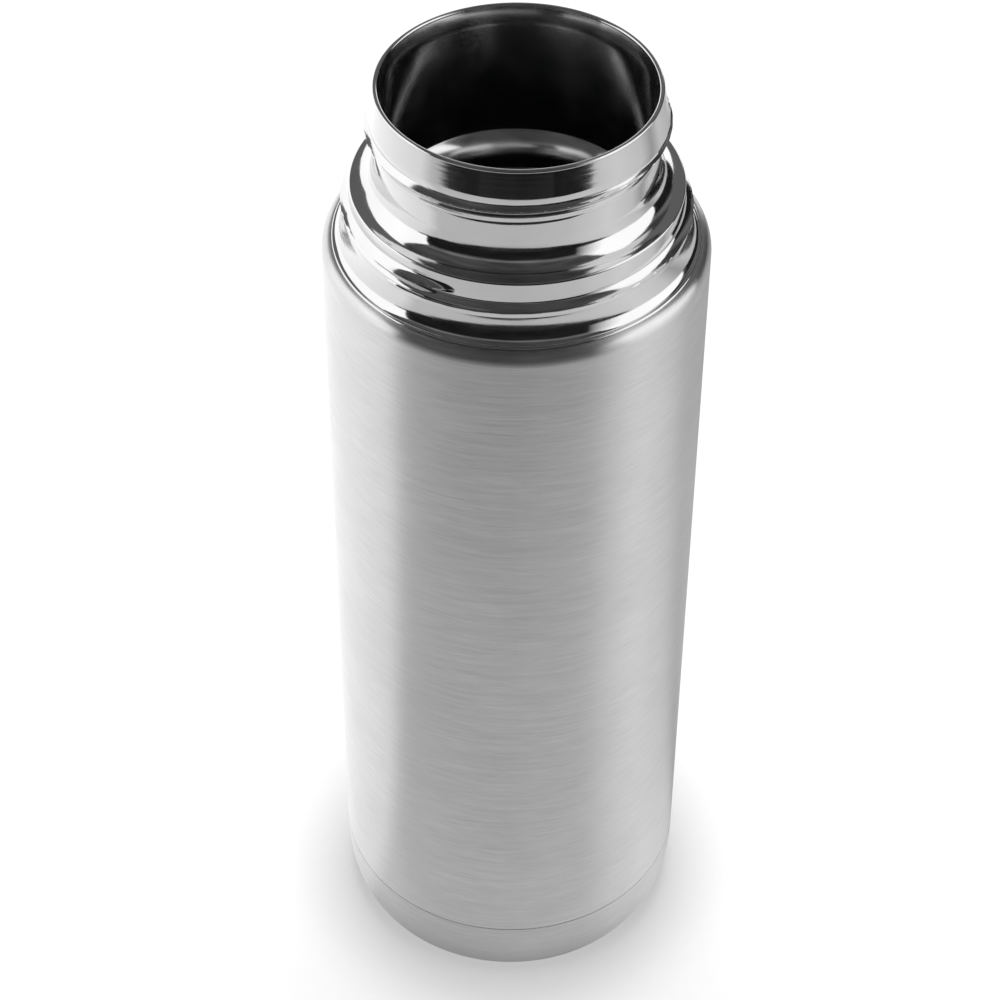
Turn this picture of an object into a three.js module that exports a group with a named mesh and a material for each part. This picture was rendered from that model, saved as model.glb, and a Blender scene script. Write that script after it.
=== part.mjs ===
// Open body of a double-wall stainless steel vacuum flask, in millimetres.
// +Z is up, the origin is the centre of the base on the table, and the front faces -Y.
import * as THREE from 'three';

const degrees = THREE.MathUtils.degToRad;

// ---- Driving dimensions ---------------------------------------------------------------------

const totalHeight = 203;        // table to the top of the lip
const bodyRadius = 35;          // outside of the brushed shell and of the base cover

// Sheet thicknesses
const shellWall = 0.5;          // outer shell, base cover and vacuum base
const neckWall = 0.45;          // threaded neck
const linerWall = 0.4;          // inner vessel
const foilWall = 0.15;          // copper radiation foil
const strapWall = 0.3;          // getter strap

// Clearances
const seamGap = 0.15;           // open seam between the base cover and the shell
const pressFit = 0.08;          // between pieces that are pressed, bonded or welded together
const foilFit = 0.12;           // between the foil and the vessel
const vacuumGap = 3.2;          // between the shell and the vessel
const neckVacuumGap = 0.75;     // between the threaded neck and the liner neck

// Steps of the neck, from the shell's shoulder in to the mouth
const shoulderWidth = 1.8;      // brushed shoulder
const footFlareWidth = 2.2;     // flare under the cup thread
const cupThreadStep = 1.25;     // difference between the walls under and over the cup thread
const collarWidth = 4.55;       // flare between the collar and the mouth
const bandFlare = 0.85;         // how far the mouth band widens down to its ridge
const grooveFlare = 0.8;        // groove between the ridge and the stopper thread
const stopperThreadHeight = 1.6;
const cupThreadHeight = 0.4;

// Heights of the neck's stretches, from the lip down
const lipWeldHeight = 0.45;
const lipRoundShare = 0.8;      // rounding of the lip weld, as a share of its height
const bandHeight = 5.2;         // mouth band, from the lip to its ridge
const grooveHeight = 1.35;
const stopperUpperFlank = 0.75;
const stopperLowerFlank = 3.2;
const plainWallHeight = 4.4;    // plain wall under the stopper thread
const collarFlareHeight = 5.1;
const collarWallHeight = 4;     // plain wall over the cup thread
const cupUpperFlank = 1.4;
const cupLowerFlank = 1.05;
const footWallHeight = 0.55;    // plain wall under the cup thread
const footFlareHeight = 4.5;
const skirtEdgeHeight = 0.4;    // visible edge of the skirt over the brushed shoulder
const skirtLength = 4.5;        // part of the skirt that is inside the shell
const edgeRound = 0.35;         // rounding of the collar's and the skirt's edges

// Threads: rolled and right-handed. Their heights are given where they pass the front.
const threadPitch = 2.5;
const threadTurn = degrees(340);
const threadRunOut = degrees(16);
const stopperThreadStart = degrees(-170);
const cupThreadStart = degrees(-57);

// Brushed shell and base
const shoulderRound = 1.7;      // width and height of the shoulder's rounding
const shoulderRoundHeight = 2.6;
const seamHeight = 15;          // middle of the seam, above the table
const baseRound = 3.8;          // width and height of the base cover's rounding
const baseRoundHeight = 13;
const standWidth = 6.5;         // flat ring that the flask stands on
const recessDepth = 1.6;        // how far the middle of the base cover is raised
const recessSlope = 2;          // width of the slope around the recess
const spigotHeight = 4;         // base cover's spigot, over the seam
const adhesiveHeight = 0.9;
const flangeHeight = 6.3;       // vacuum base's flange
const flangeRound = 2;
const pocketRadius = 4.2;       // pocket that holds the sealing glass
const pocketHeight = 2;
const pumpHoleRadius = 1;
const sealGlassHeight = 1.1;
const weldWidth = 0.4;

// Liner
const mouthTaperHeight = 4;     // height in which the mouth narrows to the liner neck
const seatDepth = 26.5;         // upper edge of the stopper seat, under the lip
const seatRound = 5.6;
const seatStart = degrees(30);  // slope of the seat at its upper edge
const throatHeight = 1.6;
const throatRound = 1.2;
const linerShoulderHeight = 11;
const linerBottomRise = 6;      // vessel floor, over the vacuum base
const linerBottomHeight = 8;    // height of the welded bottom's wall, over the vessel floor
const linerBottomRound = 6;
const foilTopGap = 8;           // bare vessel between the foil and the liner's shoulder
const foilBottomGap = 3;        // bare vessel between the foil and the liner weld

// Getter
const getterOffset = 14;        // from the axis
const getterRadius = 3.5;
const getterHeight = 1.4;
const strapWidth = 4;
const strapFoot = 2.5;

// Facets
const sides = 40;               // round every turned piece
const pillSides = 20;
const cornerSteps = 2;
const curveSteps = 4;

// ---- Sizes that follow ----------------------------------------------------------------------

const skirtRadius = bodyRadius - shoulderWidth;
const collarFootRadius = skirtRadius - footFlareWidth;
const collarRadius = collarFootRadius - cupThreadStep;
const neckRadius = collarRadius - collarWidth;
const ridgeRadius = neckRadius + bandFlare;
const grooveRadius = neckRadius + grooveFlare;
const stopperCrestRadius = neckRadius + stopperThreadHeight;
const cupCrestRadius = collarFootRadius + cupThreadHeight;

const neckTop = totalHeight - lipWeldHeight;
const ridge = totalHeight - bandHeight;
const groove = ridge - grooveHeight;
const grooveLimit = ridge - grooveHeight / 3;   // how far the thread's rise may lift the groove
const stopperCrest = groove - stopperUpperFlank;
const stopperRoot = stopperCrest - stopperLowerFlank;
const collarFlareTop = stopperRoot - plainWallHeight;
const collarTop = collarFlareTop - collarFlareHeight;
const cupThreadTop = collarTop - collarWallHeight;
const cupCrest = cupThreadTop - cupUpperFlank;
const cupRoot = cupCrest - cupLowerFlank;
const footFlareTop = cupRoot - footWallHeight;
const skirtTop = footFlareTop - footFlareHeight;
const shoulderTop = skirtTop - skirtEdgeHeight;
const skirtEnd = shoulderTop - skirtLength;

const shellInner = bodyRadius - shellWall;
const shellEnd = seamHeight + seamGap / 2;
const flangeRadius = shellInner - pressFit;
const flangeEnd = shellEnd + weldWidth + pressFit;
const plateTop = flangeEnd + flangeHeight;
const spigotRadius = flangeRadius - shellWall - pressFit;
const spigotTop = seamHeight + spigotHeight;
const pocketTop = plateTop + pocketHeight;

const linerMouthRadius = neckRadius - neckWall - pressFit - linerWall;
const linerNeckRadius = neckRadius - neckWall - neckVacuumGap - linerWall;
const seatTop = totalHeight - seatDepth;
const vesselRadius = shellInner - vacuumGap - linerWall;
const vesselFloor = plateTop + linerBottomRise;
const linerJoint = vesselFloor + linerBottomHeight;

// ---- Materials ------------------------------------------------------------------------------

function metal(name, color, roughness) {
  return new THREE.MeshStandardMaterial({ name, color, roughness, metalness: 1 });
}

const brushedSteel = metal('brushed_steel', 0xb9b9b8, 0.38);
const polishedSteel = metal('polished_steel', 0xd2d2d0, 0.08);
const linerSteel = metal('liner_steel', 0xb4b4b3, 0.14);
const plainSteel = metal('plain_steel', 0xa6a6a4, 0.42);
const weldSteel = metal('weld_steel', 0x9c9a96, 0.5);
const copper = metal('copper', 0xc07a55, 0.3);
const getterMetal = metal('getter_metal', 0x5c5c5e, 0.6);
const sealGlass = new THREE.MeshStandardMaterial({ name: 'seal_glass', color: 0x2d3a33, roughness: 0.2 });
const adhesive = new THREE.MeshStandardMaterial({ name: 'adhesive', color: 0xd8d4c8, roughness: 0.7 });

// ---- Outlines -------------------------------------------------------------------------------
// An outline is a list of points: x is the radius and y the height.

const at = (radius, height) => new THREE.Vector2(radius, height);

// A round stretch about a centre. Angles are measured from +radius towards +height.
function arc(centre, size, from, to, steps) {
  const curve = new THREE.EllipseCurve(centre.x, centre.y, size, size, from, to, to < from);
  return curve.getPoints(steps);
}

// A quarter of an ellipse that leaves its first point sideways and reaches its last one upright.
function sweep(start, end, steps) {
  const points = [];
  for (let i = 0; i <= steps; i += 1) {
    const angle = (i / steps) * (Math.PI / 2);
    const across = Math.sin(angle);
    const along = 1 - Math.cos(angle);
    points.push(at(start.x + (end.x - start.x) * across, start.y + (end.y - start.y) * along));
  }
  return points;
}

// An S-shaped stretch that is upright at both ends, without its first point.
function flank(start, end, steps) {
  const points = [];
  for (let i = 1; i <= steps; i += 1) {
    const across = (1 - Math.cos((Math.PI * i) / steps)) / 2;
    points.push(at(start.x + (end.x - start.x) * across, start.y + ((end.y - start.y) * i) / steps));
  }
  return points;
}

// A rolled thread in section, from its lower end over the crest to its upper end. Height 1 is the
// full thread, and 0 leaves the plain wall between the two ends.
function bead(low, crest, high, height) {
  const points = [low, ...flank(low, crest, curveSteps), ...flank(crest, high, curveSteps)];
  for (const p of points) {
    const plain = THREE.MathUtils.mapLinear(p.y, low.y, high.y, low.x, high.x);
    p.x = THREE.MathUtils.lerp(plain, p.x, height);
  }
  return points;
}

// The same outline moved sideways: to the left of its direction, or to the right when negative.
function offset(outline, distance) {
  const last = outline.length - 1;
  return outline.map((here, i) => {
    const into = here.clone().sub(outline[Math.max(i - 1, 0)]).normalize();
    const out = outline[Math.min(i + 1, last)].clone().sub(here).normalize();
    if (i === 0) into.copy(out);
    if (i === last) out.copy(into);
    const along = into.clone().add(out).normalize();
    const reach = distance / along.dot(out);
    return at(here.x - along.y * reach, here.y + along.x * reach);
  });
}

// The closed outline of a sheet of even thickness, grown to the left of its face.
function sheet(face, wall) {
  return [...face, ...offset(face, wall).reverse()];
}

// The closed outline of a ring with square edges.
function ring(innerRadius, outerRadius, bottom, top) {
  return [at(innerRadius, bottom), at(outerRadius, bottom), at(outerRadius, top), at(innerRadius, top)];
}

// ---- Solids ---------------------------------------------------------------------------------

// A turned piece, whose closed outline may change with the angle from the front. An outline
// starts and ends on the axis, or is closed on itself here.
function turned(outlineAt) {
  const closedAt = (angle) => {
    const outline = outlineAt(angle);
    if (THREE.ShapeUtils.isClockWise(outline)) outline.reverse();
    return outline[0].x > 0 ? [...outline, outline[0]] : outline;
  };
  const front = closedAt(0);
  const geometry = new THREE.LatheGeometry(front, sides);
  for (let side = 0; side <= sides; side += 1) {
    const angle = ((side % sides) / sides) * Math.PI * 2;
    closedAt(angle).forEach((p, i) => {
      const vertex = side * front.length + i;
      geometry.attributes.position.setXYZ(vertex, p.x * Math.sin(angle), p.y, p.x * Math.cos(angle));
    });
  }
  return geometry.rotateX(Math.PI / 2);
}

// How far a thread has risen at an angle from the front, and how much of it stands out there.
// Between its end and its start the plain wall takes the rise back.
function threadAt(angle, start) {
  const fullTurn = Math.PI * 2;
  const run = THREE.MathUtils.euclideanModulo(angle - start, fullTurn);
  const riseAfter = (turn) => (threadPitch * (start + turn)) / fullTurn;
  if (run > threadTurn) {
    const rise = THREE.MathUtils.mapLinear(run, threadTurn, fullTurn, riseAfter(threadTurn), riseAfter(0));
    return { rise, height: 0 };
  }
  const toEnd = Math.min(run, threadTurn - run);
  return { rise: riseAfter(run), height: THREE.MathUtils.smoothstep(toEnd, 0, threadRunOut) };
}

// ---- Threaded neck --------------------------------------------------------------------------

function neckFace(angle) {
  const stopper = threadAt(angle, stopperThreadStart);
  const cup = threadAt(angle, cupThreadStart);
  const edge = (radius, height) => (
    arc(at(radius - edgeRound, height - edgeRound), edgeRound, 0, Math.PI / 2, cornerSteps)
  );
  return [
    at(skirtRadius, skirtEnd),
    ...edge(skirtRadius, skirtTop).slice(0, -1),
    ...sweep(at(skirtRadius - edgeRound, skirtTop), at(collarFootRadius, footFlareTop), curveSteps),
    ...bead(
      at(collarFootRadius, cupRoot + cup.rise),
      at(cupCrestRadius, cupCrest + cup.rise),
      at(collarRadius, cupThreadTop + cup.rise),
      cup.height,
    ),
    ...edge(collarRadius, collarTop).slice(0, -1),
    ...sweep(at(collarRadius - edgeRound, collarTop), at(neckRadius, collarFlareTop), curveSteps),
    ...bead(
      at(neckRadius, stopperRoot + stopper.rise),
      at(stopperCrestRadius, stopperCrest + stopper.rise),
      at(grooveRadius, Math.min(groove + stopper.rise, grooveLimit)),
      stopper.height,
    ),
    at(ridgeRadius, ridge),
    at(neckRadius, neckTop),
  ];
}

const threadedNeck = turned((angle) => sheet(neckFace(angle), neckWall));

const lipWeld = turned(() => {
  const bottom = neckTop + pressFit;
  const round = (totalHeight - bottom) * lipRoundShare;
  return [
    at(linerMouthRadius, bottom),
    at(neckRadius, bottom),
    ...arc(at(neckRadius - round, totalHeight - round), round, 0, Math.PI / 2, cornerSteps),
    ...arc(at(linerMouthRadius + round, totalHeight - round), round, Math.PI / 2, Math.PI, cornerSteps),
  ];
});

// ---- Brushed shell --------------------------------------------------------------------------

const rimRadius = skirtRadius + pressFit;
const shoulderCurve = sweep(
  at(bodyRadius - shoulderRound, shoulderTop),
  at(bodyRadius, shoulderTop - shoulderRoundHeight),
  curveSteps,
).reverse();
const outerShell = turned(() => sheet(
  [at(bodyRadius, shellEnd), ...shoulderCurve, at(rimRadius, shoulderTop)],
  shellWall,
));

const shoulderWeld = turned(() => {
  const top = shoulderTop - shellWall - 2 * pressFit;
  return [at(rimRadius, top), at(rimRadius, top - weldWidth), at(rimRadius + weldWidth, top)];
});

// ---- Base -----------------------------------------------------------------------------------

const vacuumBase = turned(() => {
  const centre = at(flangeRadius - flangeRound, plateTop - flangeRound);
  const pocketOuter = pocketRadius + shellWall;
  return sheet([
    at(flangeRadius, flangeEnd),
    ...arc(centre, flangeRound, 0, Math.PI / 2, curveSteps),
    at(pocketOuter, plateTop),
    at(pocketOuter, pocketTop),
    at(pumpHoleRadius, pocketTop),
  ], shellWall);
});

const baseWeld = turned(() => (
  ring(flangeRadius - weldWidth, flangeRadius, shellEnd, shellEnd + weldWidth)
));

const sealingGlass = turned(() => {
  const radius = pocketRadius - pressFit;
  const top = pocketTop - shellWall - pressFit;
  const round = sealGlassHeight / 2;
  return [
    at(0, top - sealGlassHeight),
    ...arc(at(radius - round, top - round), round, -Math.PI / 2, 0, cornerSteps),
    at(radius, top),
    at(0, top),
  ];
});

const baseCover = turned(() => {
  const standOuter = bodyRadius - baseRound;
  const standInner = standOuter - standWidth;
  const recess = at(standInner - recessSlope, recessDepth);
  const coverTop = seamHeight - seamGap / 2;
  return sheet([
    at(0, recessDepth),
    recess,
    at(standInner, 0),
    ...sweep(at(standOuter, 0), at(bodyRadius, baseRoundHeight), curveSteps),
    at(bodyRadius, coverTop),
    at(spigotRadius, coverTop),
    at(spigotRadius, spigotTop),
  ], shellWall);
});

const adhesiveRing = turned(() => {
  const bottom = spigotTop + pressFit;
  return ring(spigotRadius - shellWall, spigotRadius, bottom, bottom + adhesiveHeight);
});

// ---- Liner ----------------------------------------------------------------------------------

const seatCentre = at(
  linerNeckRadius + seatRound * Math.sin(seatStart),
  seatTop - seatRound * Math.cos(seatStart),
);
const throatRadius = seatCentre.x - seatRound;
const throatEnd = at(throatRadius + throatRound, seatCentre.y - throatHeight);
const shoulderStart = at(throatEnd.x, throatEnd.y - throatRound);
const vesselTop = shoulderStart.y - linerShoulderHeight;

const innerLiner = turned(() => sheet([
  at(linerMouthRadius, neckTop),
  at(linerNeckRadius, totalHeight - mouthTaperHeight),
  ...arc(seatCentre, seatRound, Math.PI / 2 + seatStart, Math.PI, curveSteps),
  ...arc(throatEnd, throatRound, Math.PI, Math.PI * 1.5, cornerSteps),
  ...sweep(shoulderStart, at(vesselRadius, vesselTop), curveSteps + 1).slice(1),
  at(vesselRadius, linerJoint + pressFit / 2),
], linerWall));

const linerBottom = turned(() => {
  const centre = at(vesselRadius - linerBottomRound, vesselFloor + linerBottomRound);
  return sheet([
    at(0, vesselFloor),
    ...arc(centre, linerBottomRound, -Math.PI / 2, 0, curveSteps),
    at(vesselRadius, linerJoint - pressFit / 2),
  ], -linerWall);
});

const vesselOuter = vesselRadius + linerWall;

const linerWeld = turned(() => {
  const inner = vesselOuter + pressFit;
  const half = weldWidth / 2;
  return [
    at(inner, linerJoint - half),
    ...arc(at(inner, linerJoint), half, -Math.PI / 2, Math.PI / 2, cornerSteps * 2),
  ];
});

const copperFoil = turned(() => {
  const inner = vesselOuter + foilFit;
  return ring(inner, inner + foilWall, linerJoint + foilBottomGap, vesselTop - foilTopGap);
});

// ---- Getter ---------------------------------------------------------------------------------

const getterTop = vesselFloor - linerWall - pressFit;

const getterPill = new THREE.CylinderGeometry(getterRadius, getterRadius, getterHeight, pillSides)
  .rotateX(Math.PI / 2)
  .translate(getterOffset, 0, getterTop - getterHeight / 2);

// A strap bent round the pill, with a foot on each side that is welded to the vessel's bottom.
function strapGeometry() {
  const half = getterRadius + pressFit;
  const lowered = getterTop - getterHeight - pressFit;
  const inside = [
    at(-half - strapFoot, getterTop),
    at(-half, getterTop),
    at(-half, lowered),
    at(half, lowered),
    at(half, getterTop),
    at(half + strapFoot, getterTop),
  ];
  const shape = new THREE.Shape(sheet(inside, -strapWall));
  return new THREE.ExtrudeGeometry(shape, { depth: strapWidth, bevelEnabled: false })
    .rotateX(Math.PI / 2)
    .translate(getterOffset, strapWidth / 2, 0);
}

// ---- Assembly -------------------------------------------------------------------------------

const flask = new THREE.Group();
flask.name = 'vacuum_flask';

function add(name, geometry, material) {
  const mesh = new THREE.Mesh(geometry, material);
  mesh.name = name;
  flask.add(mesh);
}

add('outer_shell', outerShell, brushedSteel);
add('base_cover', baseCover, brushedSteel);
add('threaded_neck', threadedNeck, polishedSteel);
add('lip_weld', lipWeld, polishedSteel);
add('inner_liner', innerLiner, linerSteel);
add('liner_bottom', linerBottom, linerSteel);
add('vacuum_base', vacuumBase, plainSteel);
add('shoulder_weld', shoulderWeld, weldSteel);
add('liner_weld', linerWeld, weldSteel);
add('base_weld', baseWeld, weldSteel);
add('sealing_glass', sealingGlass, sealGlass);
add('adhesive_ring', adhesiveRing, adhesive);
add('copper_foil', copperFoil, copper);
add('getter_pill', getterPill, getterMetal);
add('getter_strap', strapGeometry(), plainSteel);

export default flask;
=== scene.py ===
"""The open body of a double-wall stainless steel vacuum flask, on a pale floor in soft light.

Blender units are metres. +Z is up, the origin is the centre of the base, and the front faces -Y.
"""
import math

import bpy
from mathutils import Matrix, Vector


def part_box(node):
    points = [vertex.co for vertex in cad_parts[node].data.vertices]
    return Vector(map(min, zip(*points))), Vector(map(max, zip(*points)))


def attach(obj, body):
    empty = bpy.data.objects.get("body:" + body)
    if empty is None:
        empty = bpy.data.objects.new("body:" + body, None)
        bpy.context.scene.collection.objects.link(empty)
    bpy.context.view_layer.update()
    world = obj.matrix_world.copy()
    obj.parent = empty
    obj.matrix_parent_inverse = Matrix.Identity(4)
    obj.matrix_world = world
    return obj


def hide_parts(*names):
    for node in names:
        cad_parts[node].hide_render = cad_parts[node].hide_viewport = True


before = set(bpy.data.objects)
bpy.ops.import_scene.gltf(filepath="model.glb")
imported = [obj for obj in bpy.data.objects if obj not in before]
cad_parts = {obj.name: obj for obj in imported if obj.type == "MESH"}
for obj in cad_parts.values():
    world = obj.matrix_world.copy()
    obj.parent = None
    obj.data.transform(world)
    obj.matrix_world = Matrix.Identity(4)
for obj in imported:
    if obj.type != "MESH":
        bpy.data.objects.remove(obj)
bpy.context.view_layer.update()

MM = 0.001
FULL_TURN = 2 * math.pi

# ---- Camera ---------------------------------------------------------------------------------

LENS = 101.3                                  # mm
SENSOR = 36                                   # mm
NEAREST, FARTHEST = 0.01, 50                  # metres, what the camera can see
CAMERA_PLACE = (0, -399.9 * MM, 481.7 * MM)
CAMERA_DOWN = math.radians(43.3)              # below the horizon
CAMERA_TURN = math.radians(0.375)             # to the left of +Y
CAMERA_ROLL = math.radians(0.43)


def add_camera():
    data = bpy.data.cameras.new("camera")
    data.sensor_width = SENSOR
    data.lens = LENS
    data.clip_start = NEAREST
    data.clip_end = FARTHEST
    camera = bpy.data.objects.new("camera", data)
    camera.matrix_world = (
        Matrix.Translation(CAMERA_PLACE)
        @ Matrix.Rotation(CAMERA_TURN, 4, "Z")
        @ Matrix.Rotation(math.pi / 2 - CAMERA_DOWN, 4, "X")
        @ Matrix.Rotation(CAMERA_ROLL, 4, "Z")
    )
    bpy.context.scene.collection.objects.link(camera)
    bpy.context.scene.camera = camera


# ---- Node helpers ---------------------------------------------------------------------------

BRIGHTEST = 2.0                 # a ramp's colours stop at 1, so its results are shares of this
NOISE_RANGE = (0.3, 0.7)        # nearly all values of a noise are between these


class Shading:
    """The nodes of one material or world, added and joined in short calls."""

    def __init__(self, owner):
        owner.use_nodes = True
        self.tree = owner.node_tree
        self.tree.nodes.clear()

    def add(self, kind, **settings):
        node = self.tree.nodes.new(kind)
        for key, value in settings.items():
            setattr(node, key, value)
        return node

    def put(self, node, **inputs):
        """Sets a node's sockets, by names with _ for a space, to values or to other nodes' sockets."""
        for key, value in inputs.items():
            socket = node.inputs[key.replace("_", " ")]
            if isinstance(value, bpy.types.NodeSocket):
                self.tree.links.new(value, socket)
            else:
                socket.default_value = value
        return node

    def math(self, operation, a, b=None):
        node = self.add("ShaderNodeMath", operation=operation)
        for socket, value in zip(node.inputs, (a, b)):
            if isinstance(value, bpy.types.NodeSocket):
                self.tree.links.new(value, socket)
            elif value is not None:
                socket.default_value = value
        return node.outputs[0]

    def spread(self, value, low, high, start=0.0, end=1.0):
        """value from start..end mapped to low..high."""
        node = self.add("ShaderNodeMapRange")
        self.put(node, Value=value, From_Min=start, From_Max=end, To_Min=low, To_Max=high)
        return node.outputs[0]

    def ramp(self, value, stops):
        """value from 0 to 1 mapped through stops (position, result), with results up to BRIGHTEST."""
        node = self.add("ShaderNodeValToRGB")
        marks = node.color_ramp.elements
        while len(marks) < len(stops):
            marks.new(0.5)
        for mark, (position, result) in zip(marks, stops):
            mark.position = position
            mark.color = (result / BRIGHTEST, result / BRIGHTEST, result / BRIGHTEST, 1)
        self.put(node, Fac=value)
        return self.math("MULTIPLY", node.outputs["Color"], BRIGHTEST)

    def grey(self, value):
        node = self.add("ShaderNodeCombineColor")
        self.put(node, Red=value, Green=value, Blue=value)
        return node.outputs[0]

    def noise(self, vector, scale, detail=2.0, roughness=0.5):
        node = self.add("ShaderNodeTexNoise")
        self.put(node, Vector=vector, Scale=scale, Detail=detail, Roughness=roughness)
        return node.outputs["Fac"]

    def distance_from_axis(self, x, y):
        squares = self.math("ADD", self.math("MULTIPLY", x, x), self.math("MULTIPLY", y, y))
        return self.math("SQRT", squares)

    def finish(self, surface):
        is_world = isinstance(self.tree.id_data, bpy.types.World)
        output = self.add("ShaderNodeOutputWorld" if is_world else "ShaderNodeOutputMaterial")
        self.put(output, Surface=surface)


def place(shading):
    """The point of the object that is shaded, in metres."""
    return shading.add("ShaderNodeTexCoord").outputs["Object"]


def turning_marks(shading, lean, across, along):
    """A vector whose noise runs round the axis: along and across are features per metre.

    lean is 1 where the outline goes inwards as it rises and -1 where it goes outwards.
    """
    split = shading.put(shading.add("ShaderNodeSeparateXYZ"), Vector=place(shading))
    x, y, z = split.outputs
    radius = shading.distance_from_axis(x, y)
    walk = shading.math("SUBTRACT", z, shading.math("MULTIPLY", radius, lean))
    joined = shading.add("ShaderNodeCombineXYZ")
    shading.put(joined, X=shading.math("MULTIPLY", x, along), Y=shading.math("MULTIPLY", y, along),
                Z=shading.math("MULTIPLY", walk, across))
    return joined.outputs[0]


# ---- Materials ------------------------------------------------------------------------------

# Marks that run round the axis: features per metre across them, and along them
SHADE_DASHES = (3600, 170)
ROUGHNESS_DASHES = (2600, 70)
RELIEF_DASHES = (5000, 150)
POLISHING_LINES = (1300, 50)

# Marks that run no special way: features per metre
BRUSHED_CLOUDS = 55
POLISHED_CLOUDS = 90
HANDLING_MARKS = 160

DASH_CONTRAST = 0.04            # brighter and darker than the steel's mean
CLOUD_CONTRAST = 0.02
BRUSHED_ROUGHNESS = (0.28, 0.34)
BRUSHED_ANISOTROPY = 0.95
BRUSHED_RELIEF = 0.0014 * MM
POLISHED_RELIEF = 0.012 * MM
HANDLING_RANGE = (0.35, 0.7)    # of the noise, from the smoothest steel to the most handled
HIDDEN_CONTRAST = (0.85, 1.1)   # shares of a hidden part's colour
QUARTER_TURN = 0.25


def metal(name, shade, roughness, bump, anisotropic):
    """A turned metal. shade, roughness and bump give sockets, and bump's is a height in metres."""
    material = bpy.data.materials.new(name)
    shading = Shading(material)
    shader = shading.add("ShaderNodeBsdfPrincipled")
    shading.put(shader, Metallic=1.0, Anisotropic=anisotropic, Anisotropic_Rotation=QUARTER_TURN)
    shading.put(shader, Base_Color=shading.grey(shade(shading)), Roughness=roughness(shading))
    tangent = shading.add("ShaderNodeTangent", direction_type="RADIAL", axis="Z")
    shading.put(shader, Tangent=tangent.outputs[0])
    relief = shading.add("ShaderNodeBump")
    shading.put(relief, Height=bump(shading), Distance=1.0, Strength=1.0)
    shading.put(shader, Normal=relief.outputs[0])
    shading.finish(shader.outputs[0])
    return material


def brushed_steel(name, lean, base):
    """Fine grain round the axis: short bright and dark dashes over a slight, cloudy unevenness.

    base is the mean brightness of the steel, from 0 to 1.
    """
    def grain(shading, across, along):
        marks = turning_marks(shading, lean, across, along)
        return shading.noise(marks, scale=1.0, detail=3.0, roughness=0.6)

    def shade(shading):
        dashes = grain(shading, *SHADE_DASHES)
        dashes = shading.spread(dashes, -DASH_CONTRAST, DASH_CONTRAST, *NOISE_RANGE)
        clouds = shading.noise(place(shading), BRUSHED_CLOUDS, detail=3.0)
        clouds = shading.spread(clouds, -CLOUD_CONTRAST, CLOUD_CONTRAST, *NOISE_RANGE)
        return shading.math("ADD", shading.math("ADD", dashes, clouds), base)

    def roughness(shading):
        return shading.spread(grain(shading, *ROUGHNESS_DASHES), *BRUSHED_ROUGHNESS, *NOISE_RANGE)

    def bump(shading):
        return shading.math("MULTIPLY", grain(shading, *RELIEF_DASHES), BRUSHED_RELIEF)

    return metal(name, shade, roughness, bump, BRUSHED_ANISOTROPY)


def polished_steel(name, base, low, high, anisotropic):
    """Near-mirror steel with faint polishing lines and a trace of handling.

    base is the mean brightness of the steel, and its roughness runs from low to high.
    """
    def shade(shading):
        clouds = shading.noise(place(shading), POLISHED_CLOUDS, detail=2.0)
        return shading.spread(clouds, base - CLOUD_CONTRAST, base + CLOUD_CONTRAST, *NOISE_RANGE)

    def roughness(shading):
        handling = shading.noise(place(shading), HANDLING_MARKS, detail=4.0, roughness=0.6)
        return shading.spread(handling, low, high, *HANDLING_RANGE)

    def bump(shading):
        marks = turning_marks(shading, 1, *POLISHING_LINES)
        lines = shading.noise(marks, scale=1.0, detail=3.0)
        return shading.math("MULTIPLY", lines, POLISHED_RELIEF)

    return metal(name, shade, roughness, bump, anisotropic)


# ---- Outlines -------------------------------------------------------------------------------
# An outline is a list of points (radius, height), in metres.


def arc(centre, size, start, end, steps):
    """A round stretch about a centre. Angles are in degrees, from +radius towards +height."""
    angles = [math.radians(start + (end - start) * i / steps) for i in range(steps + 1)]
    return [(centre[0] + size * math.cos(a), centre[1] + size * math.sin(a)) for a in angles]


def sweep(start, end, steps, gentle=1.0):
    """A flare that leaves its first point sideways and reaches its last upright.

    It is a quarter of an ellipse, or comes upright more slowly when gentle is over 1.
    """
    points = []
    for i in range(steps + 1):
        angle = FULL_TURN / 4 * i / steps
        across = 1 - (1 - math.sin(angle)) ** gentle
        points.append((start[0] + (end[0] - start[0]) * across,
                       start[1] + (end[1] - start[1]) * (1 - math.cos(angle))))
    return points


def dense(outline, step):
    """The same outline, with no stretch between two points longer than step."""
    points = [outline[0]]
    for start, end in zip(outline, outline[1:]):
        count = max(1, math.ceil(math.dist(start, end) / step))
        for i in range(1, count + 1):
            points.append((start[0] + (end[0] - start[0]) * i / count,
                           start[1] + (end[1] - start[1]) * i / count))
    return points


def offset(outline, distance):
    """The same outline moved to the left of its direction, or to the right when negative."""
    moved = []
    last = len(outline) - 1
    for i, here in enumerate(outline):
        into = direction(outline[max(i - 1, 0)], outline[max(i, 1)])
        out = direction(outline[min(i, last - 1)], outline[min(i + 1, last)])
        along = direction((0, 0), (into[0] + out[0], into[1] + out[1]))
        reach = distance / (along[0] * out[0] + along[1] * out[1])
        moved.append((here[0] - along[1] * reach, here[1] + along[0] * reach))
    return moved


def direction(start, end):
    length = math.dist(start, end)
    return (end[0] - start[0]) / length, (end[1] - start[1]) / length


# ---- Turned pieces --------------------------------------------------------------------------

SEGMENTS = 360
SHARP = math.radians(32)        # edges over this angle aren't smoothed


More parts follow.
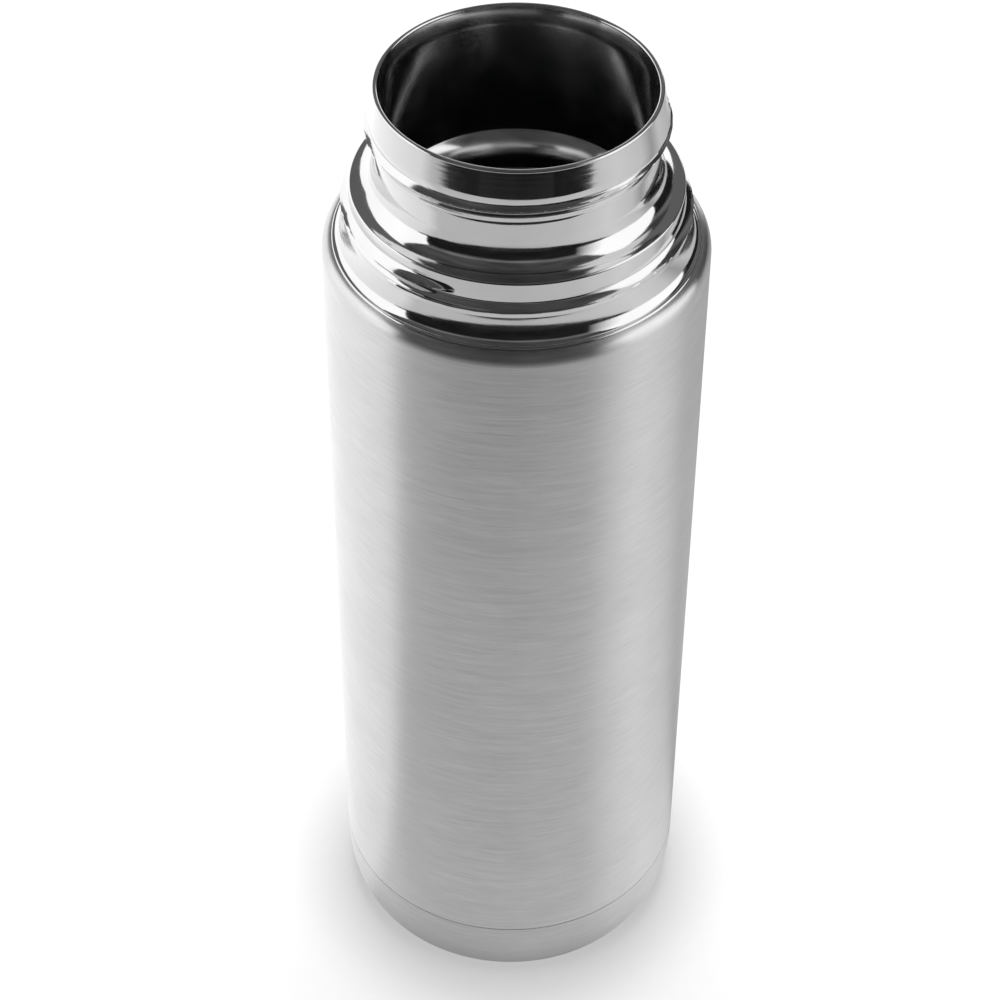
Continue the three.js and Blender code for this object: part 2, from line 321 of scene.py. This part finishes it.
def turn_outlines(outlines):
    """Points and faces of a solid from one closed outline for each segment round the axis.

    An outline starts and ends on the axis, or else it closes on itself.
    """
    on_axis = outlines[0][0][0] == 0
    rings = [outline[1:-1] if on_axis else outline for outline in outlines]
    stride = len(rings[0])
    points = []
    for i, ring in enumerate(rings):
        angle = FULL_TURN * i / SEGMENTS
        points += [(r * math.sin(angle), -r * math.cos(angle), z) for r, z in ring]
    neighbours = [(i * stride, (i + 1) % SEGMENTS * stride) for i in range(SEGMENTS)]
    faces = []
    for here, there in neighbours:
        for j in range(stride - 1 if on_axis else stride):
            k = (j + 1) % stride
            faces.append((here + j, there + j, there + k, here + k))
    if on_axis:
        first, last = len(points), len(points) + 1
        points += [(0, 0, outlines[0][0][1]), (0, 0, outlines[0][-1][1])]
        for here, there in neighbours:
            faces.append((first, there, here))
            faces.append((last, here + stride - 1, there + stride - 1))
    return points, faces


def turned(name, outline_at, material, nodes):
    """A turned piece, whose outline may change with the angle from the front."""
    outlines = [outline_at(FULL_TURN * i / SEGMENTS) for i in range(SEGMENTS)]
    points, faces = turn_outlines(outlines)
    mesh = bpy.data.meshes.new(name)
    mesh.from_pydata(points, [], faces)
    if signed_area(outlines[0]) < 0:
        mesh.flip_normals()
    mesh.shade_smooth()
    mesh.set_sharp_from_angle(angle=SHARP)
    mesh.materials.append(material)
    piece = bpy.data.objects.new(name, mesh)
    bpy.context.scene.collection.objects.link(piece)
    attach(piece, "root")
    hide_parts(*nodes)


def signed_area(outline):
    """The area within a closed outline, negative where the outline runs clockwise."""
    closed = outline + outline[:1]
    return sum(a[0] * b[1] - b[0] * a[1] for a, b in zip(closed, closed[1:])) / 2


# ---- Sizes ----------------------------------------------------------------------------------

SHELL_LOW, SHELL_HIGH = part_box("outer_shell")
NECK_LOW, NECK_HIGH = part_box("threaded_neck")
LIP_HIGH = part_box("lip_weld")[1]
LINER_LOW, LINER_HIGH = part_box("inner_liner")
BOTTOM_LOW, BOTTOM_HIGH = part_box("liner_bottom")
COVER_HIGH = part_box("base_cover")[1]

BODY_RADIUS = SHELL_HIGH.x
SHOULDER_TOP = SHELL_HIGH.z
SKIRT_RADIUS = NECK_HIGH.x
NECK_RADIUS = LIP_HIGH.x
NECK_TOP = NECK_HIGH.z
LIP_TOP = LIP_HIGH.z

SHELL_WALL = 0.5 * MM
NECK_WALL = 0.45 * MM
LINER_WALL = 0.4 * MM
HAIRLINE = 0.02 * MM            # between pieces that are welded together

# Steps of the neck, from the skirt in to the mouth
FOOT_FLARE_WIDTH = 2.2 * MM
CUP_THREAD_STEP = 1.25 * MM
BAND_FLARE = 0.85 * MM
GROOVE_FLARE = 0.8 * MM
STOPPER_CREST = 1.6 * MM
STOPPER_DIP = 0.08 * MM
CUP_CREST = 0.38 * MM
CUP_DIP = 0.07 * MM
DIP_WIDTH = 0.4 * MM
FILLET = 0.05 * MM
CREST_SHARPNESS = 2
FLARE_GENTLENESS = 1.25

# Heights of the neck's stretches, from the top of the lip down
BAND_HEIGHT = 5.2 * MM
GROOVE_HEIGHT = 1.35 * MM
STOPPER_UPPER_FLANK = 0.75 * MM
STOPPER_LOWER_FLANK = 3.2 * MM
PLAIN_WALL_HEIGHT = 4.4 * MM
COLLAR_FLARE_HEIGHT = 5.1 * MM
COLLAR_WALL_HEIGHT = 4.0 * MM
CUP_UPPER_FLANK = 1.4 * MM
CUP_LOWER_FLANK = 1.05 * MM
FOOT_WALL_HEIGHT = 0.35 * MM
FOOT_FLARE_HEIGHT = 4.7 * MM
EDGE_ROUND = 0.35 * MM
LIP_ROUND_SHARE = 0.8           # of the height of the lip's bead
STOPPER_BEAD_FLANK = 2 * STOPPER_UPPER_FLANK    # the thread's own, part of it under the groove's

FOOT_RADIUS = SKIRT_RADIUS - FOOT_FLARE_WIDTH
COLLAR_RADIUS = FOOT_RADIUS - CUP_THREAD_STEP
RIDGE = LIP_TOP - BAND_HEIGHT
GROOVE = RIDGE - GROOVE_HEIGHT
STOPPER_TOP = GROOVE - STOPPER_UPPER_FLANK
STOPPER_ROOT = STOPPER_TOP - STOPPER_LOWER_FLANK
COLLAR_FLARE_TOP = STOPPER_ROOT - PLAIN_WALL_HEIGHT
COLLAR_TOP = COLLAR_FLARE_TOP - COLLAR_FLARE_HEIGHT
CUP_THREAD_TOP = COLLAR_TOP - COLLAR_WALL_HEIGHT
CUP_TOP = CUP_THREAD_TOP - CUP_UPPER_FLANK
CUP_ROOT = CUP_TOP - CUP_LOWER_FLANK
FOOT_FLARE_TOP = CUP_ROOT - FOOT_WALL_HEIGHT
SKIRT_TOP = FOOT_FLARE_TOP - FOOT_FLARE_HEIGHT

# Threads: rolled and right-handed. Their heights are given where they pass the front.
THREAD_PITCH = 2.5 * MM
THREAD_TURN = math.radians(340)
THREAD_RUN_OUT = math.radians(16)
STOPPER_START = math.radians(-170)
CUP_START = math.radians(-57)
CUP_END = math.radians(342)

# Brushed shell and base
SHOULDER_ROUND = 1.7 * MM
SHOULDER_HEIGHT = 2.6 * MM
BASE_ROUND = 3.8 * MM
BASE_ROUND_HEIGHT = 13 * MM
STAND_WIDTH = 6.5 * MM
RECESS_DEPTH = 1.6 * MM
RECESS_SLOPE = 2 * MM
SEAM_GAP = 0.15 * MM
SPIGOT_INSET = 0.66 * MM

# Liner
MOUTH_GAP = 0.08 * MM           # from the neck's wall to the liner's, at the mouth
LINER_NECK_GAP = 0.75 * MM      # and below the taper
MOUTH_RADIUS = NECK_RADIUS - NECK_WALL - MOUTH_GAP - LINER_WALL
LINER_NECK_RADIUS = NECK_RADIUS - NECK_WALL - LINER_NECK_GAP - LINER_WALL
MOUTH_TAPER = 4 * MM
SEAT_DEPTH = 26.5 * MM
SEAT_ROUND = 5.6 * MM
SEAT_START = 30                 # degrees from the top of the seat's round, where the neck meets it
THROAT_HEIGHT = 1.6 * MM
THROAT_ROUND = 1.2 * MM
LINER_SHOULDER_HEIGHT = 11 * MM
LINER_BOTTOM_ROUND = 6 * MM

FINE = 16                       # steps of a curve that shows
COARSE = 4                      # steps of a curve inside the vacuum
MIRROR_STEP = 0.25 * MM         # between the points of a polished face
LINER_STEP = 1 * MM             # between the points of the liner's face
THREAD_STEP = 0.06 * MM         # between the points of a threaded face
BRUSHED_STEP = 1.5 * MM         # between the points of a brushed face


# ---- Threaded neck --------------------------------------------------------------------------


def smoothstep(value):
    t = min(max(value, 0), 1)
    return t * t * (3 - 2 * t)


def outer(a, b):
    """The larger of two radii, with a small fillet where they meet."""
    return (a + b + math.hypot(a - b, FILLET)) / 2


def thread_rise(turn):
    return THREAD_PITCH * turn / FULL_TURN


def turns(angle, start, end):
    """The parts of a thread from start to end that pass an angle: rise, and how much stands out."""
    passed = []
    turn = start + (angle - start) % FULL_TURN
    while turn < end:
        passed.append((thread_rise(turn), smoothstep(min(turn - start, end - turn) / THREAD_RUN_OUT)))
        turn += FULL_TURN
    return passed


def flanks(above, root_radius, crest_radius, far_radius, lower, upper, share):
    """Radius of a rolled thread at a height above its crest. Its crest is tight, its feet gentle."""
    if above < 0:
        t = max(0, 1 + above / lower)
        full = root_radius + (crest_radius - root_radius) * t ** CREST_SHARPNESS
    else:
        t = max(0, 1 - above / upper)
        full = far_radius + (crest_radius - far_radius) * t ** CREST_SHARPNESS
    return root_radius + (full - root_radius) * share


def cup_radius(height, angle):
    """The step between the foot wall and the collar, and the cup's thread over it."""
    t = min(max((height - CUP_TOP) / CUP_UPPER_FLANK, 0), 1)
    radius = FOOT_RADIUS + (COLLAR_RADIUS - FOOT_RADIUS) * (1 - math.cos(math.pi * t)) / 2
    for rise, share in turns(angle, CUP_START, CUP_END):
        above = height - CUP_TOP - rise
        bead_radius = flanks(above, COLLAR_RADIUS, FOOT_RADIUS + CUP_CREST, COLLAR_RADIUS,
                             CUP_LOWER_FLANK, CUP_UPPER_FLANK, share)
        radius = outer(radius, bead_radius)
        radius -= CUP_DIP * share * math.exp(-((above + CUP_LOWER_FLANK) / DIP_WIDTH) ** 2)
    return radius


def stopper_radius(height, angle):
    """The plain wall, the groove under the ridge, and the stopper's thread between them."""
    t = min(max((height - STOPPER_TOP) / (GROOVE - STOPPER_TOP), 0), 1)
    radius = NECK_RADIUS + GROOVE_FLARE * smoothstep(t)
    for rise, share in turns(angle, STOPPER_START, STOPPER_START + THREAD_TURN):
        above = height - STOPPER_TOP - rise
        bead_radius = flanks(above, NECK_RADIUS, NECK_RADIUS + STOPPER_CREST, NECK_RADIUS,
                             STOPPER_LOWER_FLANK, STOPPER_BEAD_FLANK, share)
        radius = outer(radius, bead_radius)
        radius -= STOPPER_DIP * share * math.exp(-((above + STOPPER_LOWER_FLANK) / DIP_WIDTH) ** 2)
    return radius


def wall_at(radius_at, angle, bottom, top):
    """A stretch of the neck whose radius depends on its height and on the angle."""
    steps = round((top - bottom) / THREAD_STEP)
    heights = [bottom + (top - bottom) * i / steps for i in range(steps + 1)]
    return [(radius_at(height, angle), height) for height in heights]


def round_edge(radius, height):
    """The rounding between an upright wall and the level that it ends in."""
    return arc((radius - EDGE_ROUND, height - EDGE_ROUND), EDGE_ROUND, 0, 90, FINE // 2)[:-1]


def neck_face(angle):
    return (
        dense([(SKIRT_RADIUS, NECK_LOW.z)] + round_edge(SKIRT_RADIUS, SKIRT_TOP), MIRROR_STEP)
        + sweep((SKIRT_RADIUS - EDGE_ROUND, SKIRT_TOP), (FOOT_RADIUS, FOOT_FLARE_TOP), FINE)[:-1]
        + wall_at(cup_radius, angle, FOOT_FLARE_TOP, COLLAR_TOP - EDGE_ROUND)[:-1]
        + round_edge(COLLAR_RADIUS, COLLAR_TOP)
        + sweep((COLLAR_RADIUS - EDGE_ROUND, COLLAR_TOP), (NECK_RADIUS, COLLAR_FLARE_TOP),
                2 * FINE, FLARE_GENTLENESS)[:-1]
        + wall_at(stopper_radius, angle, COLLAR_FLARE_TOP, GROOVE)
        + dense([(NECK_RADIUS + BAND_FLARE, RIDGE), (NECK_RADIUS, NECK_TOP)], MIRROR_STEP)
    )


def neck_back():
    """The neck's face in the vacuum, level all round and clear of the threads."""
    return offset(
        [(SKIRT_RADIUS, NECK_LOW.z), (SKIRT_RADIUS, SKIRT_TOP - EDGE_ROUND)]
        + sweep((SKIRT_RADIUS - EDGE_ROUND, SKIRT_TOP), (FOOT_RADIUS, FOOT_FLARE_TOP), COARSE)
        + [(FOOT_RADIUS - CUP_DIP, CUP_ROOT), (COLLAR_RADIUS, CUP_THREAD_TOP)]
        + [(COLLAR_RADIUS, COLLAR_TOP - EDGE_ROUND)]
        + sweep((COLLAR_RADIUS - EDGE_ROUND, COLLAR_TOP), (NECK_RADIUS, COLLAR_FLARE_TOP), COARSE)
        + [(NECK_RADIUS - STOPPER_DIP, STOPPER_ROOT), (NECK_RADIUS, NECK_TOP)],
        NECK_WALL,
    )


def neck_outline(angle):
    return neck_face(angle) + neck_back()[::-1]


def lip_outline(_):
    bottom = NECK_TOP + HAIRLINE
    size = (LIP_TOP - bottom) * LIP_ROUND_SHARE
    return (
        [(MOUTH_RADIUS, bottom), (NECK_RADIUS, bottom)]
        + arc((NECK_RADIUS - size, LIP_TOP - size), size, 0, 90, FINE // 2)
        + arc((MOUTH_RADIUS + size, LIP_TOP - size), size, 90, 180, FINE // 2)
    )


# ---- Shell, base and liner ------------------------------------------------------------------


def shell_outline(_):
    shoulder = sweep((BODY_RADIUS - SHOULDER_ROUND, SHOULDER_TOP),
                     (BODY_RADIUS, SHOULDER_TOP - SHOULDER_HEIGHT), FINE)[::-1]
    face = [(BODY_RADIUS, SHELL_LOW.z)] + shoulder + [(SKIRT_RADIUS + HAIRLINE, SHOULDER_TOP)]
    return dense(face, BRUSHED_STEP) + offset(face, SHELL_WALL)[::-1]


def cover_outline(_):
    stand_outer = BODY_RADIUS - BASE_ROUND
    stand_inner = stand_outer - STAND_WIDTH
    cover_top = SHELL_LOW.z - SEAM_GAP
    spigot = BODY_RADIUS - SHELL_WALL - SPIGOT_INSET
    face = (
        [(0, RECESS_DEPTH), (stand_inner - RECESS_SLOPE, RECESS_DEPTH), (stand_inner, 0)]
        + sweep((stand_outer, 0), (BODY_RADIUS, BASE_ROUND_HEIGHT), FINE)
        + [(BODY_RADIUS, cover_top), (spigot, cover_top), (spigot, COVER_HIGH.z)]
    )
    return dense(face, BRUSHED_STEP) + offset(face, SHELL_WALL)[::-1]


def mouth_taper():
    """The mouth narrows to the liner's neck in one soft curve."""
    points = []
    for i in range(FINE + 1):
        t = 1 - i / FINE
        points.append((LINER_NECK_RADIUS + (MOUTH_RADIUS - LINER_NECK_RADIUS) * t * t,
                       LIP_TOP - MOUTH_TAPER + (NECK_TOP - LIP_TOP + MOUTH_TAPER) * t))
    return points


def liner_outline(_):
    vessel_radius = LINER_HIGH.x - LINER_WALL
    seat = math.radians(SEAT_START)
    seat_centre = (LINER_NECK_RADIUS + SEAT_ROUND * math.sin(seat),
                   LIP_TOP - SEAT_DEPTH - SEAT_ROUND * math.cos(seat))
    throat_end = (seat_centre[0] - SEAT_ROUND + THROAT_ROUND, seat_centre[1] - THROAT_HEIGHT)
    shoulder = (throat_end[0], throat_end[1] - THROAT_ROUND)
    face = (
        mouth_taper()
        + arc(seat_centre, SEAT_ROUND, 90 + SEAT_START, 180, FINE)
        + arc(throat_end, THROAT_ROUND, 180, 270, FINE)
        + sweep(shoulder, (vessel_radius, shoulder[1] - LINER_SHOULDER_HEIGHT), FINE)[1:]
        + [(vessel_radius, LINER_LOW.z)]
    )
    return dense(face, LINER_STEP) + offset(face, LINER_WALL)[::-1]


def bottom_outline(_):
    vessel_radius = BOTTOM_HIGH.x - LINER_WALL
    floor = BOTTOM_LOW.z + LINER_WALL
    face = (
        [(0, floor)]
        + arc((vessel_radius - LINER_BOTTOM_ROUND, floor + LINER_BOTTOM_ROUND),
              LINER_BOTTOM_ROUND, -90, 0, FINE)
        + [(vessel_radius, BOTTOM_HIGH.z)]
    )
    return dense(face, LINER_STEP) + offset(face, -LINER_WALL)[::-1]


# ---- Parts inside the vacuum ----------------------------------------------------------------
# They keep their CAD shapes and get looks of their own.


def solid_look(name, color, metallic, low, high, scale, relief):
    """A look that is uneven in shade, in roughness and in relief.

    Roughness runs from low to high, scale is the number of marks in a metre and relief their
    height in metres.
    """
    material = bpy.data.materials.new(name)
    shading = Shading(material)
    marks = shading.noise(place(shading), scale, detail=4.0, roughness=0.6)
    darker, brighter = HIDDEN_CONTRAST
    mixed = shading.add("ShaderNodeCombineColor")
    for channel, part in zip(("Red", "Green", "Blue"), color):
        uneven = shading.spread(marks, part * darker, part * brighter, *NOISE_RANGE)
        shading.put(mixed, **{channel: uneven})
    bump = shading.put(shading.add("ShaderNodeBump"), Distance=1.0, Strength=1.0,
                       Height=shading.math("MULTIPLY", marks, relief))
    shader = shading.put(shading.add("ShaderNodeBsdfPrincipled"), Metallic=metallic)
    shading.put(shader, Base_Color=mixed.outputs[0], Normal=bump.outputs[0],
                Roughness=shading.spread(marks, low, high, *NOISE_RANGE))
    shading.finish(shader.outputs[0])
    return material


# Colour, metallic, roughness from and to, marks in a metre, and their height
HIDDEN_LOOKS = {
    "drawn_steel": ((0.5, 0.5, 0.49), 1.0, 0.32, 0.5, 400, 0.004 * MM),
    "weld_bead": ((0.45, 0.44, 0.42), 1.0, 0.4, 0.62, 1500, 0.02 * MM),
    "fused_glass": ((0.03, 0.05, 0.04), 0.0, 0.12, 0.3, 300, 0.004 * MM),
    "cured_adhesive": ((0.68, 0.65, 0.57), 0.0, 0.6, 0.8, 900, 0.02 * MM),
    "copper_foil": ((0.62, 0.32, 0.2), 1.0, 0.22, 0.42, 120, 0.01 * MM),
    "sintered_metal": ((0.2, 0.2, 0.21), 0.7, 0.55, 0.8, 2500, 0.03 * MM),
}
HIDDEN_PARTS = {
    "vacuum_base": "drawn_steel", "getter_strap": "drawn_steel", "shoulder_weld": "weld_bead",
    "liner_weld": "weld_bead", "base_weld": "weld_bead", "sealing_glass": "fused_glass",
    "adhesive_ring": "cured_adhesive", "copper_foil": "copper_foil", "getter_pill": "sintered_metal",
}


def dress_hidden_parts():
    looks = {name: solid_look(name, *values) for name, values in HIDDEN_LOOKS.items()}
    for node, look in HIDDEN_PARTS.items():
        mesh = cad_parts[node].data
        mesh.materials.clear()
        mesh.materials.append(looks[look])


# ---- The flask ------------------------------------------------------------------------------


def build_flask():
    shell = brushed_steel("brushed_shell", lean=1, base=0.6)
    base = brushed_steel("brushed_base", lean=-1, base=0.57)
    neck = polished_steel("polished_neck", base=0.62, low=0.07, high=0.13, anisotropic=0.5)
    liner = polished_steel("polished_liner", base=0.6, low=0.14, high=0.2, anisotropic=0.8)
    turned("brushed_shell", shell_outline, shell, ["outer_shell"])
    turned("brushed_base", cover_outline, base, ["base_cover"])
    turned("rolled_neck", neck_outline, neck, ["threaded_neck"])
    turned("lip_bead", lip_outline, neck, ["lip_weld"])
    turned("drawn_liner", liner_outline, liner, ["inner_liner"])
    turned("drawn_bottom", bottom_outline, liner, ["liner_bottom"])


# ---- Studio ---------------------------------------------------------------------------------
# The camera sees a pale floor and a white surround. The steel sees a glowing table card with painted
# light and shade, whose front edge is near the flask, white walls on the left, right and back, and a
# dark room in front.
# Places and heights are in metres.

TABLE_FRONT = 0.36
LEFT_WALL = 1.5
RIGHT_WALL = 1.2
BACK_WALL = 1.5
CARD_BOTTOM = -0.01             # just under the table
WHITE = 1.55

FLOOR_REACH = 6.0               # from the middle to each edge
FLOOR_FILL = 0.79               # brightness of the floor in the shadow, clear of the flask
FLOOR_LIT = 0.25                # and how much the light adds to it
FLOOR_GRAIN = 300               # features per metre
FLOOR_CONTRAST = (0.99, 1.01)
CONTACT_REACH = 20 * MM         # how far the floor looks for the flask
CONTACT_SHADE = 0.64            # painted contact shade: share of the floor's brightness left where the flask closes in on it
CONTACT_OPENNESS = (0.45, 0.95)     # of the air there, and where the shade ends

SUN_ENERGY = math.pi            # lights a white floor to a brightness of 1
SUN_ANGLE = math.radians(20)
SUN_TILT = math.radians(-12)

# Painted light on the table card: its brightness by direction from the flask, in degrees to the right
# of the front.
TABLE_LIGHT = [
    (-180, 1.05), (-150, 1.5), (-110, 1.28), (-72, 1.05), (-62, 0.72), (-35, 0.69), (0, 0.68),
    (40, 0.75), (75, 0.95), (100, 0.8), (113, 0.45), (125, 0.75), (150, 0.55), (180, 1.05),
]
NEAR_LIGHT = 0.1                # painted pool of light: how much brighter the table is close to the flask
NEAR_LIGHT_ENDS = (60 * MM, 260 * MM)       # distances from the axis: all of it, none of it
NEAR_SHADE = 0.5                # painted shadow: share of the table's glow left beside the flask
NEAR_SHADE_ENDS = (31 * MM, 42 * MM)        # distances from the axis: all shade, no shade

# The right wall fades out towards the front.
RIGHT_WALL_DIM = 0.1
RIGHT_WALL_FADE = (-1.3, -0.6)  # y where it is dim, and where it is white

# Brightness of the dark room by height of the direction: sine of the elevation.
ROOM_LIGHT = [
    (0.0, 0.015), (0.33, 0.016), (0.46, 0.2), (0.54, 0.2), (0.6, 0.08), (0.94, 0.085), (1.0, 0.05),
]
ROOM_CLOUDS = 3.0               # unevenness of that brightness: its scale
ROOM_CONTRAST = (0.6, 1.4)      # and its shares


def emitter(name, strength):
    """A white material that shines. strength is a function of the shading, or a number."""
    material = bpy.data.materials.new(name)
    shading = Shading(material)
    shine = shading.add("ShaderNodeEmission")
    value = strength(shading) if callable(strength) else strength
    shading.put(shine, Strength=value)
    shading.finish(shine.outputs[0])
    return material


def card(name, corners, material, camera=False):
    """A flat sheet of the studio. Only the steel sees it, or only the camera when camera is true."""
    mesh = bpy.data.meshes.new(name)
    mesh.from_pydata(corners, [], [tuple(range(len(corners)))])
    mesh.materials.append(material)
    sheet = bpy.data.objects.new(name, mesh)
    sheet.visible_camera = camera
    sheet.visible_glossy = not camera
    sheet.visible_diffuse = False
    sheet.visible_shadow = False
    bpy.context.scene.collection.objects.link(sheet)


def wall(name, start, end, tops, strength, bottom=CARD_BOTTOM):
    """An upright card from start to end, with the heights of its top there."""
    (x0, y0), (x1, y1) = start, end
    corners = [(x0, y0, bottom), (x1, y1, bottom), (x1, y1, tops[1]), (x0, y0, tops[0])]
    card(name, corners, emitter(name, strength))


def level(name, low, high, height, strength):
    """A level card between two corners."""
    (x0, y0), (x1, y1) = low, high
    corners = [(x0, y0, height), (x1, y0, height), (x1, y1, height), (x0, y1, height)]
    card(name, corners, emitter(name, strength))


# The table card's glow: painted light that changes with the direction from the flask, a painted pool
# of light near it and a painted shadow right beside it.
def table_glow(shading):
    x, y, _ = shading.put(shading.add("ShaderNodeSeparateXYZ"), Vector=place(shading)).outputs
    turn = shading.math("ARCTAN2", x, shading.math("MULTIPLY", y, -1.0))
    share = shading.spread(turn, 0, 1, -math.pi, math.pi)
    stops = [((angle + 180) / 360, value) for angle, value in TABLE_LIGHT]
    away = shading.distance_from_axis(x, y)
    near = shading.spread(away, NEAR_LIGHT, 0, *NEAR_LIGHT_ENDS)
    lit = shading.math("ADD", shading.ramp(share, stops), near)
    return shading.math("MULTIPLY", lit, shading.spread(away, NEAR_SHADE, 1, *NEAR_SHADE_ENDS))


def right_glow(shading):
    y = shading.put(shading.add("ShaderNodeSeparateXYZ"), Vector=place(shading)).outputs["Y"]
    return shading.spread(y, RIGHT_WALL_DIM, WHITE, *RIGHT_WALL_FADE)


def add_floor():
    """A pale floor that glows, with painted contact shade in its glow and colour where the flask
    closes in on it, and darker where the light's soft shadow falls.
    """
    material = bpy.data.materials.new("floor")
    shading = Shading(material)
    # Painted contact shade: ambient occlusion darkens the floor's glow and colour near the flask.
    near = shading.put(shading.add("ShaderNodeAmbientOcclusion", samples=16), Distance=CONTACT_REACH)
    painted_contact_shade = shading.spread(near.outputs["AO"], CONTACT_SHADE, 1, *CONTACT_OPENNESS)
    grain = shading.spread(shading.noise(place(shading), FLOOR_GRAIN, detail=3.0), *FLOOR_CONTRAST)
    shade = shading.math("MULTIPLY", painted_contact_shade, grain)
    fill = shading.add("ShaderNodeEmission")
    shading.put(fill, Strength=shading.math("MULTIPLY", shade, FLOOR_FILL))
    lit = shading.add("ShaderNodeBsdfDiffuse")
    shading.put(lit, Color=shading.grey(shading.math("MULTIPLY", shade, FLOOR_LIT)))
    both = shading.add("ShaderNodeAddShader")
    shading.tree.links.new(fill.outputs[0], both.inputs[0])
    shading.tree.links.new(lit.outputs[0], both.inputs[1])
    shading.finish(both.outputs[0])
    reach = FLOOR_REACH
    card("floor", [(-reach, -reach, 0), (reach, -reach, 0), (reach, reach, 0), (-reach, reach, 0)],
         material, camera=True)


def add_sun():
    """Soft light from above and a little from behind, which only the floor shows."""
    data = bpy.data.lights.new("soft_light", "SUN")
    data.energy = SUN_ENERGY
    data.angle = SUN_ANGLE
    light = bpy.data.objects.new("soft_light", data)
    light.rotation_euler = (SUN_TILT, 0, 0)
    light.visible_glossy = False
    bpy.context.scene.collection.objects.link(light)


def add_world():
    """White behind everything for the camera, and the dark room for the steel."""
    world = bpy.data.worlds.new("studio")
    bpy.context.scene.world = world
    shading = Shading(world)
    generated = shading.add("ShaderNodeTexCoord").outputs["Generated"]
    up = shading.put(shading.add("ShaderNodeSeparateXYZ"), Vector=generated).outputs["Z"]
    clouds = shading.noise(generated, ROOM_CLOUDS, detail=3.0)
    unevenness = shading.spread(clouds, *ROOM_CONTRAST, *NOISE_RANGE)
    room = shading.math("MULTIPLY", shading.ramp(up, ROOM_LIGHT), unevenness)
    path = shading.add("ShaderNodeLightPath")
    seen_room = shading.math("MULTIPLY", path.outputs["Is Glossy Ray"], room)
    shine = shading.add("ShaderNodeBackground")
    shading.put(shine, Color=(1, 1, 1, 1),
                Strength=shading.math("ADD", path.outputs["Is Camera Ray"], seen_room))
    shading.finish(shine.outputs[0])


def add_cards():
    """What the steel sees in the room: the table, three walls and three dimmer cards."""
    back_left = (-LEFT_WALL, BACK_WALL)
    behind_back = BACK_WALL + 0.1
    level("table", low=(-LEFT_WALL, -TABLE_FRONT), high=(RIGHT_WALL, BACK_WALL), height=0,
          strength=table_glow)
    wall("left_wall", start=(-LEFT_WALL, -0.67), end=back_left, tops=(0.9, 3.2), strength=WHITE)
    wall("right_wall", start=(RIGHT_WALL, -1.3), end=(RIGHT_WALL, 0.52), tops=(0.9, 2.4),
         strength=right_glow)
    wall("back_wall", start=back_left, end=(0.85, BACK_WALL), tops=(1.0, 0.8), strength=WHITE)
    wall("front_card", start=(-0.5, -1.0), end=(0.48, -1.0), tops=(-0.1, -0.1), bottom=-0.5,
         strength=0.03)
    wall("back_glow", start=(-LEFT_WALL, behind_back), end=(RIGHT_WALL, behind_back),
         tops=(3.0, 3.0), bottom=0.8, strength=0.16)
    level("high_card", low=(0.6, 0.1), high=(1.4, 1.2), height=2.0, strength=0.9)


# ---- Scene ----------------------------------------------------------------------------------

add_camera()
add_floor()
add_sun()
add_world()
add_cards()
build_flask()
dress_hidden_parts()
bpy.context.scene.view_settings.view_transform = "Standard"
